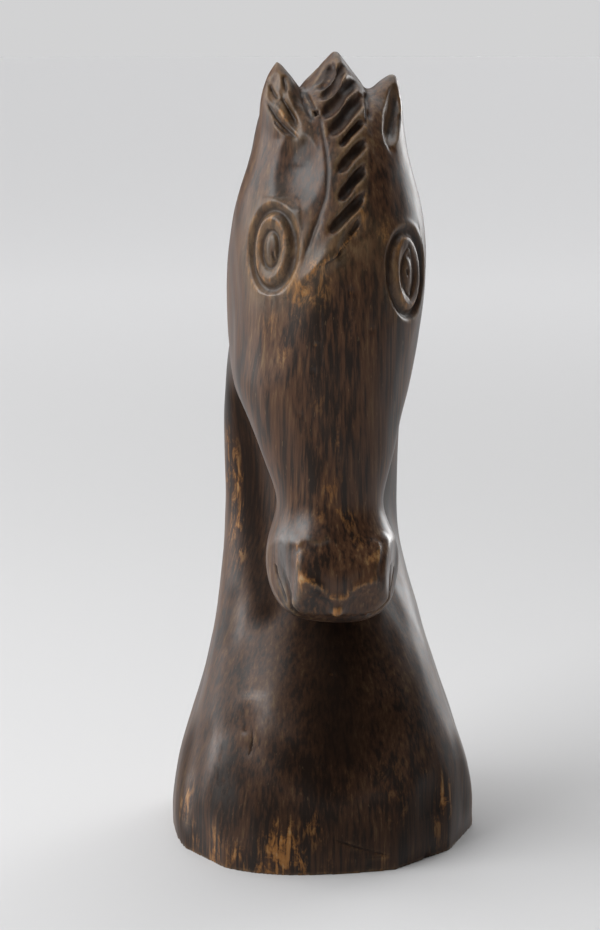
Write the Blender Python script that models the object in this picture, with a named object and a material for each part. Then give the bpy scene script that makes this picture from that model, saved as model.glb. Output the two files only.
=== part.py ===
"""A horse's head and neck carved from one block of dark wood, standing on the flat cut end of its own neck.

Metres, +Z up. The face looks along -Y, and the origin is the middle of the underside's bounding box.
"""

import math

import bmesh
import bpy
import numpy as np
from mathutils import Matrix, Vector
from mathutils.bvhtree import BVHTree

# Driving sizes
HEIGHT = 0.250
MM = HEIGHT / 250.8  # the carving's own millimetre: its forms below are shares of the height
BASE_WIDTH = 0.0975
BASE_DEPTH = 0.0965
MANE_GROOVE_WIDTH = 0.0044
MANE_GROOVE_DEPTH = 0.0026
MANE_GROOVE_PITCH = 0.0066
EYE_RING_WIDTH = 0.0164
EYE_RING_HEIGHT = 0.0246
PUPIL_RING_WIDTH = 0.0066
PUPIL_RING_HEIGHT = 0.0116
EYE_GROOVE_WIDTH = 0.0030
EYE_GROOVE_DEPTH = 0.0018
PUPIL_GROOVE_WIDTH = 0.0020
PUPIL_GROOVE_DEPTH = 0.0015
MOUTH_WIDTH = 0.0018
MOUTH_DEPTH = 0.0022

# Rows of the neck and the head: height, side shift, half width, y of the widest line, front y, back y,
# squareness of the front half and of the back half (2 is an ellipse, more is boxier, less is keel-like)
HALF_BASE = 0.5 * BASE_WIDTH / MM
FRONT_BASE = -0.5 * BASE_DEPTH / MM + 2
BACK_BASE = 0.5 * BASE_DEPTH / MM + 2
NECK_ROWS = [
    (-9, -0.9, HALF_BASE - 0.3, 0, FRONT_BASE, BACK_BASE, 2.5, 2.4),
    (8, -0.9, HALF_BASE, 0, FRONT_BASE, BACK_BASE, 2.5, 2.4),
    (22, -0.9, 0.955 * HALF_BASE, 1, 0.96 * FRONT_BASE, 0.97 * BACK_BASE, 2.5, 2.3),
    (38, -0.8, 0.86 * HALF_BASE, 3, 0.86 * FRONT_BASE, 0.91 * BACK_BASE, 2.4, 2.2),
    (55, -0.8, 37.2, 6, -34, 42.5, 2.2, 2.2),
    (70, -1.0, 33.2, 9, -27, 40.5, 1.9, 2.2),
    (85, -1.6, 30.5, 13, -22, 39.3, 1.5, 2.2),
    (100, -1.9, 29.0, 16, -20, 38.5, 1.2, 2.2),
    (115, -1.7, 28.8, 17, -20, 38.0, 1.1, 2.2),
    (130, -1.5, 28.8, 17, -20, 37.8, 1.2, 2.2),
    (145, -1.0, 29.2, 14, -20, 36.8, 1.5, 2.2),
    (160, -1.0, 28.8, 8, -20, 35.8, 2.0, 2.2),
    (175, -0.4, 27.0, 4, -18, 33.6, 2.0, 2.2),
    (190, -0.4, 22.0, 2, -14, 24.0, 2.0, 2.0),
]
HEAD_ROWS = [
    (239, 0.0, 12.0, -3, -11, 8, 2.2, 2.2),
    (235.5, 0.6, 19.8, -4, -17, 15, 2.4, 2.2),
    (230, 0.6, 22.2, -4, -22, 19, 2.4, 2.2),
    (220, 0.4, 23.8, -5, -28, 24, 2.4, 2.2),
    (205, -0.4, 28.2, -5, -34, 29, 2.3, 2.2),
    (190, -0.4, 30.5, -4, -38.5, 32.5, 2.2, 2.2),
    (175, -0.9, 30.6, -4, -41, 34.5, 2.2, 2.2),
    (160, -2.6, 29.0, -8, -43, 34, 2.2, 2.2),
    (150, -4.0, 27.4, -14, -44, 24, 2.2, 2.1),
    (140, -4.1, 23.8, -21, -45, 2, 2.2, 2.1),
    (130, -4.0, 20.6, -27, -46, -9, 2.2, 2.1),
    (120, -4.2, 17.3, -31, -47, -14, 2.2, 2.1),
    (115, -4.4, 16.2, -33, -47.3, -15, 2.3, 2.1),
    (110, -4.4, 17.2, -33, -48.8, -15, 2.5, 2.2),
    (104, -4.2, 19.6, -34, -52.0, -14, 2.9, 2.3),
    (98, -4.0, 20.6, -35, -54.6, -14, 3.2, 2.3),
    (92, -4.1, 19.8, -35, -55.0, -15, 3.2, 2.3),
    (86, -4.2, 17.2, -35, -52.6, -17, 2.9, 2.3),
    (82, -4.2, 13.8, -35, -49.6, -19, 2.6, 2.3),
    (79.5, -4.2, 8.0, -35, -45.0, -24, 2.3, 2.3),
]
RING_POINTS = 56
ROW_STEPS = 4

# Rows of an ear: height, side shift, y of the middle, half width, half depth
LEFT_EAR = [
    (216, -13.5, -8.0, 7.0, 12.0),
    (224, -14.2, -8.5, 7.6, 12.5),
    (231, -14.8, -8.0, 7.3, 11.5),
    (236, -15.2, -7.5, 6.7, 9.5),
    (240, -15.3, -7.0, 5.5, 7.2),
    (243.5, -15.9, -6.5, 3.5, 4.6),
    (247.8, -16.3, -6.0, 0.4, 0.8),
]
RIGHT_EAR = [
    (214, 13.5, -7.5, 7.0, 12.0),
    (222, 15.0, -8.0, 7.4, 12.0),
    (229, 15.8, -7.5, 7.0, 10.5),
    (234, 16.4, -6.8, 6.2, 8.8),
    (238, 17.0, -6.0, 5.0, 6.8),
    (241, 18.4, -5.2, 3.4, 4.6),
    (244.2, 20.2, -4.5, 0.4, 0.8),
]
EAR_POINTS = 20

# The crest: a place near the skin of the head, half width, height above the skin.
# It starts as the forelock's tip above the left eye, climbs the forehead, peaks between the ears
# and runs down the back of the neck.
CREST = [
    (-14.0, -38, 180.5, 0.8, 0.3),
    (-10.0, -38, 186.0, 2.8, 1.0),
    (-6.8, -38, 191.5, 4.5, 1.7),
    (-4.0, -37, 197.0, 5.8, 2.1),
    (-0.5, -35, 202.5, 6.4, 2.3),
    (0.9, -33, 209.0, 6.2, 2.3),
    (1.6, -29, 216.5, 6.3, 2.4),
    (1.5, -25, 224.0, 6.7, 2.5),
    (1.6, -21, 230.5, 6.8, 2.8),
    (1.7, -17, 235.5, 6.8, 3.6),
    (1.7, -10, 238.4, 7.6, 7.2),
    (1.8, -2, 239.2, 9.0, 12.4),
    (1.8, 6, 238.8, 8.8, 10.4),
    (1.6, 14, 235.0, 7.8, 7.0),
    (1.2, 20, 229.0, 7.0, 5.0),
    (0.6, 25, 217.0, 6.8, 3.8),
    (0.0, 29, 203.0, 6.8, 3.4),
    (-0.4, 33, 186.0, 6.8, 3.2),
    (-0.8, 35, 168.0, 6.8, 3.0),
    (-1.2, 37, 148.0, 6.6, 2.8),
    (-1.5, 38, 126.0, 6.2, 2.5),
    (-1.7, 38, 106.0, 5.6, 2.1),
    (-1.7, 39, 88.0, 4.4, 1.5),
    (-1.5, 40, 74.0, 2.0, 0.4),
]
# its cross-section: shares of the half width and of the height, with the foot sunk into the head
CREST_PROFILE = [
    (-1.0, -1.4),
    (-1.0, 0.14),
    (-0.46, 0.58),
    (0.1, 1.0),
    (0.55, 0.56),
    (1.0, 0.14),
    (1.0, -1.4),
]

# The mane's grooves on the forehead: share of the full width, then places from the lower to the upper end
MANE_GROOVES = [
    (0.75, (-6.2, -13, 239.2), (-2.6, -12, 243.8), (0.2, -5, 249.0)),
    (0.95, (-5.6, -17, 236.2), (-1.0, -16, 241.9), (5.4, -7, 248.0)),
    (1.15, (-5.7, -22, 230.4), (0.0, -20, 236.9), (9.0, -11, 243.6)),
    (1.15, (-4.2, -26, 225.2), (2.2, -24, 232.3), (10.2, -15, 239.4)),
    (0.65, (-1.2, -29, 222.6), (2.5, -27, 226.2), (9.0, -22, 231.6)),
    (0.95, (-2.4, -32, 214.6), (2.5, -30, 220.1), (9.6, -26, 226.0)),
    (0.9, (-2.6, -35, 206.6), (1.7, -34, 211.8), (8.4, -30, 218.4)),
    (0.95, (-6.6, -38, 197.2), (-0.7, -37, 202.6), (7.8, -33, 210.2)),
    (0.85, (-4.2, -39, 189.6), (-0.6, -38, 195.1), (5.4, -36, 203.4)),
]
# and on the back of the neck, each one lying across the crest at this slope
BACK_GROOVE_SLOPE = 0.75
BACK_GROOVES_FROM = 0.33  # shares of the crest's length
BACK_GROOVES_TO = 0.94
BACK_GROOVE_SHARE = 0.85  # of the front grooves' full width
BACK_GROOVE_PLACES = 7  # where each one is set onto the crest
CREST_REACH = 25  # higher than the crest stands anywhere

# Each eye: the place of its middle and the tilt of its long axis
EYES = [((-21.8, -29.4, 192.3), 4), ((19.6, -31.6, 184.6), -4)]

# Gouges along the skin: name, width, depth, places
EAR_GOUGES = [
    (
        "left ear hollow",
        6.6,
        1.9,
        [(-17, -10, 245), (-18.6, -12.5, 239.5), (-18, -16, 234.5), (-15.8, -19, 229.8), (-12.2, -23, 224.2)],
    ),
    (
        "left ear fold",
        2.6,
        2.4,
        [(-15.6, -11, 242.6), (-16.0, -15.5, 237.5), (-14.2, -18, 232.8), (-12.0, -22, 226.6)],
    ),
    ("left ear seam", 1.8, 1.8, [(-9.6, -9.0, 240.4), (-9.2, -17, 234.5), (-7.4, -22, 228.6)]),
    (
        "right ear hollow",
        6.0,
        2.4,
        [(19.6, -9, 241), (18.8, -13.5, 236), (17.4, -17, 231.2), (16.2, -20.5, 226.4), (14.7, -23.5, 222)],
    ),
    ("right ear seam", 1.8, 1.8, [(10.6, -9.0, 239.6), (10.0, -17, 233.8), (9.2, -22, 229.2)]),
]
MOUTH = [
    (-23.6, -41, 100.5), (-22.9, -45.5, 97.9), (-21.6, -47.5, 93.0), (-19.2, -48, 87.3), (-15.6, -47.5, 83.8),
    (-10.4, -49.6, 83.0), (-5.0, -50.3, 82.8), (1.0, -49.6, 83.2), (6.6, -47.6, 84.2),
    (10.6, -47.5, 88.0), (12.6, -48.0, 93.0), (14.0, -46.5, 98.0), (15.4, -42, 101.0),
]

# Flat cuts of the knife: a place on the cut, the way it faces, its width and height
MUZZLE_CUTS = [
    ((-20.6, -44.5, 92), (-0.91, -0.41, 0), 44, 28),
    ((13.0, -44.3, 92), (0.926, -0.377, 0), 44, 28),
]
BASE_CUTS = [
    ((-0.892 * HALF_BASE, 0.539 * FRONT_BASE, 10), (-0.877, -0.481, 0), 60, 40),
    ((-0.601 * HALF_BASE, 0.890 * FRONT_BASE, 10), (-0.49, -0.87, 0), 60, 40),
    ((0.521 * HALF_BASE, 0.819 * FRONT_BASE, 10), (0.564, -0.826, 0), 60, 40),
    ((0.838 * HALF_BASE, 0.461 * FRONT_BASE, 10), (0.861, -0.509, 0), 60, 40),
    ((-0.679 * HALF_BASE, 0.698 * FRONT_BASE, 30.5), (-0.73, -0.63, 0.265), 40, 60),
]
# Shallow hollows: a place on the skin, the way it faces, width, length and depth
SCOOPS = [
    ((-11.2, -53.4, 88.8), (-0.08, -0.92, -0.38), 12.5, 15.0, 2.0),
    ((2.0, -53.2, 88.4), (0.08, -0.92, -0.38), 14.5, 15.0, 2.0),
    ((-14.6, -26.6, 215.5), (-0.42, -0.82, 0.38), 21.0, 28.0, 2.8),
]
RIM_CHIP = ((0.552 * HALF_BASE, 0.828 * FRONT_BASE, 0.6), (0.5, -0.7, -0.5), 7.0, 5.0, 1.8)
LIP_TIP = ((-5.4, -52.6, 85.6), (1.9, 1.7, 2.0))

# Cleaning up where the parts of the block meet
BLEND_GRID = 1.5 * MM
CRISP_GRID = 1.1 * MM
CARVED_GRID = 0.5 * MM
BLOCK_TRIANGLES = 12000
CARVED_TRIANGLES = 9600
GOUGE_LIFT = 0.7 * MM  # how far a cutter stands out of the skin
FLOOR_CUT = 200  # side of the box that trims the foot level


def clear_scene():
    for thing in list(bpy.data.objects):
        bpy.data.objects.remove(thing)


def between(rows, steps):
    """The rows with `steps` smooth intervals between each two, by a cubic through them."""
    rows = np.array(rows, float)
    places = rows[:, 0]
    slopes = np.gradient(rows, places, axis=0)
    found = []
    for i in range(len(rows) - 1):
        span = places[i + 1] - places[i]
        for step in range(steps + (i == len(rows) - 2)):
            t = step / steps
            found.append(
                (2 * t**3 - 3 * t**2 + 1) * rows[i]
                + (t**3 - 2 * t**2 + t) * span * slopes[i]
                + (3 * t**2 - 2 * t**3) * rows[i + 1]
                + (t**3 - t**2) * span * slopes[i + 1]
            )
    return found


def along(rows, steps):
    """Like `between`, for rows without a rising first value: they are numbered first."""
    return [row[1:] for row in between([(i, *row) for i, row in enumerate(rows)], steps)]


def power(value, squareness):
    return math.copysign(abs(value) ** (2 / squareness), value)


def block_ring(row):
    """The points of one level cross-section of the neck or the head."""
    height, shift, half_width, widest, front, back, front_square, back_square = row
    points = []
    for i in range(RING_POINTS):
        angle = 2 * math.pi * i / RING_POINTS
        square = front_square if math.sin(angle) < 0 else back_square
        reach = (widest - front) if math.sin(angle) < 0 else (back - widest)
        x = shift + half_width * power(math.cos(angle), square)
        y = widest + reach * power(math.sin(angle), square)
        points.append(Vector((x, y, height)) * MM)
    return points


def ear_ring(row):
    """The points of one level cross-section of an ear."""
    height, shift, middle, half_width, half_depth = row
    points = []
    for i in range(EAR_POINTS):
        angle = 2 * math.pi * i / EAR_POINTS
        x = shift + half_width * math.cos(angle)
        y = middle + half_depth * power(math.sin(angle), 1.7)
        points.append(Vector((x, y, height)) * MM)
    return points


def loft(name, rings, closed=False):
    """A closed skin over rings of equally many points, capped at both ends unless it runs in a circle."""
    bm = bmesh.new()
    loops = []
    for ring in rings:
        corners = [bm.verts.new(point) for point in ring]
        loops.append([bm.edges.new((a, b)) for a, b in zip(corners, corners[1:] + corners[:1])])
    for near, far in zip(loops, loops[1:] + (loops[:1] if closed else [])):
        bmesh.ops.bridge_loops(bm, edges=near + far)
    if not closed:
        for end in (loops[0], loops[-1]):
            bmesh.ops.contextual_create(bm, geom=end)
    bmesh.ops.recalc_face_normals(bm, faces=bm.faces)
    return link(name, bm)


def link(name, bm):
    """Turns the build mesh into an object of the scene."""
    mesh = bpy.data.meshes.new(name)
    bm.to_mesh(mesh)
    bm.free()
    thing = bpy.data.objects.new(name, mesh)
    bpy.context.scene.collection.objects.link(thing)
    return thing


def facing(place, outward):
    """Puts a shape at a place with its own Z along `outward` and its own Y as upright as that allows."""
    outward = Vector(outward).normalized()
    upward = (Vector((0, 0, 1)) - outward * outward.z).normalized()
    if upward.length < 0.5:
        upward = Vector((0, 1, 0))
    turn = Matrix((upward.cross(outward), upward, outward)).transposed().to_4x4()
    return Matrix.Translation(Vector(place) * MM) @ turn


def ball(name, place, radii, detail=2):
    bm = bmesh.new()
    matrix = Matrix.Translation(Vector(place) * MM) @ Matrix.Diagonal((*(Vector(radii) * MM), 1))
    bmesh.ops.create_icosphere(bm, subdivisions=detail, radius=1, matrix=matrix)
    return link(name, bm)


def scoop(name, place, outward, width, length, depth):
    """A flattened ball that dips into the skin by the depth and marks about that width and length on it."""
    high = 4 * depth
    size = Matrix.Diagonal((width / 1.2 * MM, length / 1.2 * MM, (high + depth) * MM, 1))
    bm = bmesh.new()
    matrix = facing(place, outward) @ Matrix.Translation((0, 0, high * MM)) @ size
    bmesh.ops.create_icosphere(bm, subdivisions=3, radius=1, matrix=matrix)
    return link(name, bm)


def slab(name, place, outward, width, height, thickness=20):
    """A box whose inner face lies on the plane through `place`, to cut that plane onto the block."""
    bm = bmesh.new()
    bmesh.ops.create_cube(bm, size=1, matrix=Matrix.Translation((0, 0, 0.5)))
    bmesh.ops.scale(bm, vec=Vector((width, height, thickness)) * MM, verts=bm.verts)
    bmesh.ops.transform(bm, matrix=facing(place, outward), verts=bm.verts)
    return link(name, bm)


def apply_modifiers(thing):
    """Replaces the object's mesh by what its modifiers make of it."""
    bpy.context.view_layer.update()
    graph = bpy.context.evaluated_depsgraph_get()
    made = bpy.data.meshes.new_from_object(thing.evaluated_get(graph))
    thing.modifiers.clear()
    thing.data = made


def combine(body, others, operation):
    """Joins the others to the body, or cuts them out of it, one after another."""
    for other in others:
        step = body.modifiers.new(other.name, "BOOLEAN")
        step.operation = operation
        step.object = other
        apply_modifiers(body)
        bpy.data.objects.remove(other)


def even_out(body, grid_size, relaxed):
    """Gives the body one even skin and relaxes it that many times."""
    grid = body.modifiers.new("even out", "REMESH")
    grid.mode = "VOXEL"
    grid.voxel_size = grid_size
    relax = body.modifiers.new("relax", "SMOOTH")
    relax.iterations = relaxed
    apply_modifiers(body)


def thin_out(body, triangles):
    """Leaves the body about that many triangles, fewest where it is plain."""
    thin = body.modifiers.new("thin out", "DECIMATE")
    thin.ratio = triangles / sum(len(face.vertices) - 2 for face in body.data.polygons)
    apply_modifiers(body)


def drop_splinters(body):
    """Keeps only the largest of the shells, so that nothing the gouges cut free stays behind."""
    bm = bmesh.new()
    bm.from_mesh(body.data)
    left = set(bm.verts)
    shells = []
    while left:
        shell = {left.pop()}
        reached = list(shell)
        while reached:
            vertex = reached.pop()
            near = {edge.other_vert(vertex) for edge in vertex.link_edges} & left
            left -= near
            shell |= near
            reached.extend(near)
        shells.append(shell)
    largest = max(shells, key=len)
    bmesh.ops.delete(bm, geom=[vertex for vertex in bm.verts if vertex not in largest], context="VERTS")
    bm.to_mesh(body.data)
    bm.free()


def skin_of(body):
    bm = bmesh.new()
    bm.from_mesh(body.data)
    skin = BVHTree.FromBMesh(bm)
    bm.free()
    return skin


def on_skin(skin, place, spread=2.0):
    """The skin's point nearest to a place in carving millimetres, and its normal over a few points."""
    place = Vector(place) * MM
    point = skin.find_nearest(place)[0]
    normal = Vector()
    for side in ((0, 0, 0), (1, 0, 0), (-1, 0, 0), (0, 1, 0), (0, -1, 0), (0, 0, 1), (0, 0, -1)):
        normal += skin.find_nearest(point + spread * MM * Vector(side))[1]
    return point, normal.normalized()


def block(name):
    """The neck and the head as one smooth body, before ears and crest."""
    neck = loft(name, [block_ring(row) for row in between(NECK_ROWS, ROW_STEPS)])
    head = loft("head", [block_ring(row) for row in between(HEAD_ROWS, ROW_STEPS)])
    combine(neck, [head], "UNION")
    even_out(neck, BLEND_GRID, relaxed=6)
    return neck


def crest(skin):
    """The mane's low ridge, laid over the forehead, the poll and the back of the neck."""
    rings = []
    rows = along(CREST, 3)
    places = [on_skin(skin, row[:3], 3.0) for row in rows]
    for i, row in enumerate(rows):
        point, normal = places[i]
        ahead = (places[min(i + 1, len(rows) - 1)][0] - places[max(i - 1, 0)][0]).normalized()
        side = ahead.cross(normal).normalized()
        if i > 0 and side.x * rings[0][1].x < 0:
            side = -side
        rings.append((point, side, side.cross(ahead).normalized(), row[3] * MM, row[4] * MM))
    skins = []
    for point, side, up, half_width, height in rings:
        if up.dot(point - Vector((0, 0, point.z))) < 0 and point.z < 0.22:
            up = -up
        skins.append(
            [
                point + side * half_width * across + up * (height * rise if rise > 0 else rise * 2 * MM)
                for across, rise in CREST_PROFILE
            ]
        )
    return loft("crest", skins)


def gouge(name, skin, path, width, depth, closed=False, steps=3, spread=2.0):
    """A cutter that runs along the skin through the places of the path, narrow below it and wider above."""
    spots = [on_skin(skin, place, spread) for place in (path if closed else along(path, steps))]
    rings = []
    count = len(spots)
    for i, (point, normal) in enumerate(spots):
        before = spots[(i - 1) % count if closed else max(i - 1, 0)][0]
        after = spots[(i + 1) % count if closed else min(i + 1, count - 1)][0]
        side = normal.cross((after - before).normalized()).normalized()
        share = 1.0
        if not closed:
            share = max(0.08, min(1.0, 1.3 * math.sin(math.pi * i / (count - 1)) ** 0.6))
        half = 0.5 * width * share
        deep = depth * share
        wide = half * (1 + GOUGE_LIFT / deep)
        rings.append(
            [
                point + side * wide + normal * GOUGE_LIFT,
                point + side * half * 0.42 - normal * deep * 0.8,
                point - side * half * 0.42 - normal * deep * 0.8,
                point - side * wide + normal * GOUGE_LIFT,
            ]
        )
    return loft(name, rings, closed)


def stand_at_origin(body):
    """Moves the mesh so that the middle of its bounding box's underside is the origin."""
    corners = np.array([vertex.co for vertex in body.data.vertices])
    low, high = corners.min(axis=0), corners.max(axis=0)
    body.data.transform(Matrix.Translation((-0.5 * (low[0] + high[0]), -0.5 * (low[1] + high[1]), -low[2])))


def stain(body):
    """One dark, satin wood for the whole carving."""
    wood = bpy.data.materials.new("dark stained wood")
    wood.use_nodes = True
    shader = wood.node_tree.nodes["Principled BSDF"]
    shader.inputs["Base Color"].default_value = (0.055, 0.034, 0.022, 1)
    shader.inputs["Roughness"].default_value = 0.42
    body.data.materials.clear()
    body.data.materials.append(wood)


def groove_mane(skin):
    """The cutters of all the mane's grooves."""
    cutters = []
    for share, *path in MANE_GROOVES:
        cutters.append(gouge("mane groove", skin, path, share * MANE_GROOVE_WIDTH, MANE_GROOVE_DEPTH))
    rows = along(CREST, 24)
    path = [Vector(row[:3]) for row in rows]
    reach = np.cumsum([0, *((b - a).length for a, b in zip(path, path[1:]))])
    place = BACK_GROOVES_FROM * reach[-1]
    while place < BACK_GROOVES_TO * reach[-1]:
        i = int(np.searchsorted(reach, place))
        half = 0.95 * rows[i][3]
        ahead = (path[i + 1] - path[i - 1]).normalized()
        across = Vector((1, 0, 0))
        outward = across.cross(ahead) if across.cross(ahead).y > 0 else -across.cross(ahead)
        slant = across + ahead * BACK_GROOVE_SLOPE
        places = []
        for share in np.linspace(-1, 1, BACK_GROOVE_PLACES):
            above = (path[i] + slant * half * float(share) + outward * CREST_REACH) * MM
            places.append(skin.ray_cast(above, -outward)[0] / MM)
        width = BACK_GROOVE_SHARE * MANE_GROOVE_WIDTH
        cutters.append(gouge("mane groove", skin, places, width, MANE_GROOVE_DEPTH, steps=1, spread=3.5))
        place += MANE_GROOVE_PITCH / MM
    return cutters


def ring_eye(skin, eye, width, height, groove_width, groove_depth):
    """The cutter of an oval groove round an eye's middle."""
    middle, tilt = eye
    point, normal = on_skin(skin, middle, 4.0)
    upward = (Vector((0, 0, 1)) - normal * normal.z).normalized()
    upward = Matrix.Rotation(math.radians(tilt), 3, normal) @ upward
    side = upward.cross(normal)
    path = []
    for i in range(28):
        angle = 2 * math.pi * i / 28
        spot = point + side * 0.5 * width * math.cos(angle) + upward * 0.5 * height * math.sin(angle)
        hit = skin.ray_cast(spot + normal * 20 * MM, -normal)[0]
        path.append(tuple(hit / MM))
    return gouge("eye ring", skin, path, groove_width, groove_depth, closed=True)


def main():
    clear_scene()
    body = block("carved_horse_head")
    ears = [loft("ear", [ear_ring(row) for row in between(rows, 3)]) for rows in (LEFT_EAR, RIGHT_EAR)]
    combine(body, [*ears, crest(skin_of(body))], "UNION")
    even_out(body, CRISP_GRID, relaxed=2)
    thin_out(body, BLOCK_TRIANGLES)

    cuts = [slab("flat cut", *cut) for cut in (*MUZZLE_CUTS, *BASE_CUTS)]
    cuts += [scoop("scoop", *hollow) for hollow in SCOOPS]
    combine(body, cuts, "DIFFERENCE")
    combine(body, [ball("lip tip", *LIP_TIP)], "UNION")

    skin = skin_of(body)
    cuts = groove_mane(skin)
    cuts += [gouge(name, skin, path, width * MM, depth * MM) for name, width, depth, path in EAR_GOUGES]
    cuts.append(gouge("mouth", skin, MOUTH, MOUTH_WIDTH, MOUTH_DEPTH, steps=2))
    for eye in EYES:
        cuts.append(ring_eye(skin, eye, EYE_RING_WIDTH, EYE_RING_HEIGHT, EYE_GROOVE_WIDTH, EYE_GROOVE_DEPTH))
        cuts.append(
            ring_eye(skin, eye, PUPIL_RING_WIDTH, PUPIL_RING_HEIGHT, PUPIL_GROOVE_WIDTH, PUPIL_GROOVE_DEPTH)
        )
    combine(body, cuts, "DIFFERENCE")
    even_out(body, CARVED_GRID, relaxed=1)
    drop_splinters(body)
    thin_out(body, CARVED_TRIANGLES)
    combine(body, [scoop("rim chip", *RIM_CHIP)], "DIFFERENCE")
    combine(body, [slab("below the foot", (0, 0, 0), (0, 0, -1), FLOOR_CUT, FLOOR_CUT)], "DIFFERENCE")
    stand_at_origin(body)
    stain(body)


main()
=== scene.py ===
import math

import bmesh
import bpy
import numpy as np
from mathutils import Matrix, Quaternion, Vector
from mathutils.bvhtree import BVHTree


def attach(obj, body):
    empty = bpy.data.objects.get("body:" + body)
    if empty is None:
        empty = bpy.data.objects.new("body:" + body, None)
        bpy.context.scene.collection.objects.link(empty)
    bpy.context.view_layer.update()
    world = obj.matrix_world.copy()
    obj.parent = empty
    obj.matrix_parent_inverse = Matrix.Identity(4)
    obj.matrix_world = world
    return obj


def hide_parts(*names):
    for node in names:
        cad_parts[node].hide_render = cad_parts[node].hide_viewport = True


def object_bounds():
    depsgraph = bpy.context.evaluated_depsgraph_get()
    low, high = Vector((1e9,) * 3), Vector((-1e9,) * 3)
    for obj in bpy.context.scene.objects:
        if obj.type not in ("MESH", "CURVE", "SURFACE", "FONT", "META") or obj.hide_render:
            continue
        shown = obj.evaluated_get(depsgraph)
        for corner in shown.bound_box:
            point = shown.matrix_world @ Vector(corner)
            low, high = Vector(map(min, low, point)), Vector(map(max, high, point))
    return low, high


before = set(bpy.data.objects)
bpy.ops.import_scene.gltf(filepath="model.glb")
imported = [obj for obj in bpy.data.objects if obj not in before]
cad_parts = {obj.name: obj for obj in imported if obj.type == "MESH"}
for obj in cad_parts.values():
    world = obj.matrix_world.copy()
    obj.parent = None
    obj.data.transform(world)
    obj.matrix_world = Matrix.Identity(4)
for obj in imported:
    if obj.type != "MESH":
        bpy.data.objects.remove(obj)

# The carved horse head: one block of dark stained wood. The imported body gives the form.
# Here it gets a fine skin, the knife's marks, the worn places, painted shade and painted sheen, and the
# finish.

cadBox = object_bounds()
mm = 0.001

cameraSetup = {
    "azimuth": -9,
    "elevation": 11,
    "distance": 0.700,
    "lens": 85,
    "sensor": 36,
    "target": (-0.0074, 0.0024, 0.1201),
    "picture": (600, 930),
}


def directionFrom(azimuth, elevation):
    a, e = math.radians(azimuth), math.radians(elevation)
    return Vector((math.sin(a) * math.cos(e), -math.cos(a) * math.cos(e), math.sin(e)))


def makeCamera(setup):
    back = directionFrom(setup["azimuth"], setup["elevation"])
    data = bpy.data.cameras.new("photoCamera")
    data.lens = setup["lens"]
    data.sensor_width = setup["sensor"]
    data.clip_start = 0.01
    camera = bpy.data.objects.new("photoCamera", data)
    camera.location = Vector(setup["target"]) + setup["distance"] * back
    camera.rotation_mode = "QUATERNION"
    camera.rotation_quaternion = back.to_track_quat("Z", "Y")
    bpy.context.scene.collection.objects.link(camera)
    bpy.context.scene.camera = camera
    return camera


camera = makeCamera(cameraSetup)
print("camera placed")


# where the camera stands and the way it sees a pixel of the photograph
def pixelRay(px, py):
    wide, high = cameraSetup["picture"]
    focal = cameraSetup["lens"] / cameraSetup["sensor"] * high
    ahead = Vector(((px - wide / 2) / focal, -(py - high / 2) / focal, -1)).normalized()
    return camera.location.copy(), camera.rotation_quaternion @ ahead


# The skin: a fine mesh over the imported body

skinValues = {
    "mergeDistance": 0.01 * mm,
    "grid": 0.5 * mm,
    "push": 0.5,  # how far one pass moves a point towards the middle of its neighbours
    "plainPasses": 44,
    "detailPasses": 3,
    "normalPasses": 6,
    "sharpTop": (232, 240),  # heights in mm over which the tips begin to keep their edges
    "sharpRim": (1.5, 4),  # and over which the rim stops keeping its own
    "heldFoot": (0.05, 1.2),  # the lowest points stay on the floor
    "pastBox": 0.3 * mm,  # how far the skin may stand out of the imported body's box
    "triangles": 192000,
}


def copyBody(name, node):
    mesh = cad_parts[node].data.copy()
    bm = bmesh.new()
    bm.from_mesh(mesh)
    bmesh.ops.remove_doubles(bm, verts=bm.verts, dist=skinValues["mergeDistance"])
    bm.to_mesh(mesh)
    bm.free()
    piece = bpy.data.objects.new(name, mesh)
    bpy.context.scene.collection.objects.link(piece)
    return piece


def applyModifiers(piece):
    bpy.context.view_layer.update()
    graph = bpy.context.evaluated_depsgraph_get()
    made = bpy.data.meshes.new_from_object(piece.evaluated_get(graph))
    piece.modifiers.clear()
    piece.data = made


def refine(piece, grid):
    voxels = piece.modifiers.new("fineSkin", "REMESH")
    voxels.mode = "VOXEL"
    voxels.voxel_size = grid
    applyModifiers(piece)


def readPoints(mesh):
    points = np.zeros(len(mesh.vertices) * 3, np.float32)
    mesh.vertices.foreach_get("co", points)
    return points.reshape(-1, 3).astype(float)


def readEdges(mesh):
    edges = np.zeros(len(mesh.edges) * 2, np.int32)
    mesh.edges.foreach_get("vertices", edges)
    return edges.reshape(-1, 2)


def writePoints(mesh, points):
    mesh.vertices.foreach_set("co", points.astype(np.float32).ravel())
    mesh.update()


def readNormals(mesh):
    normals = np.zeros(len(mesh.vertices) * 3, np.float32)
    mesh.vertex_normals.foreach_get("vector", normals)
    return normals.reshape(-1, 3).astype(float)


# for each point the mean of its neighbours' values
def nearMean(values, edges):
    count = len(values)
    ends = np.concatenate([edges[:, 0], edges[:, 1]])
    others = np.concatenate([edges[:, 1], edges[:, 0]])
    degree = np.maximum(np.bincount(ends, minlength=count), 1)
    if values.ndim == 1:
        return np.bincount(ends, weights=values[others], minlength=count) / degree
    columns = []
    for k in range(values.shape[1]):
        columns.append(np.bincount(ends, weights=values[others, k], minlength=count) / degree)
    return np.stack(columns, axis=1)


def smoothStep(low, high, values):
    t = np.clip((values - low) / (high - low), 0, 1)
    return t * t * (3 - 2 * t)


# the same, between two limits in mm
def rising(limits, values):
    return smoothStep(limits[0] * mm, limits[1] * mm, values)


node = "carved_horse_head"
carving = copyBody("horse_head_carving", node)
refine(carving, skinValues["grid"])
mesh = carving.data
edges = readEdges(mesh)
points = readPoints(mesh)
print("skin has", len(points), "points")

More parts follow.
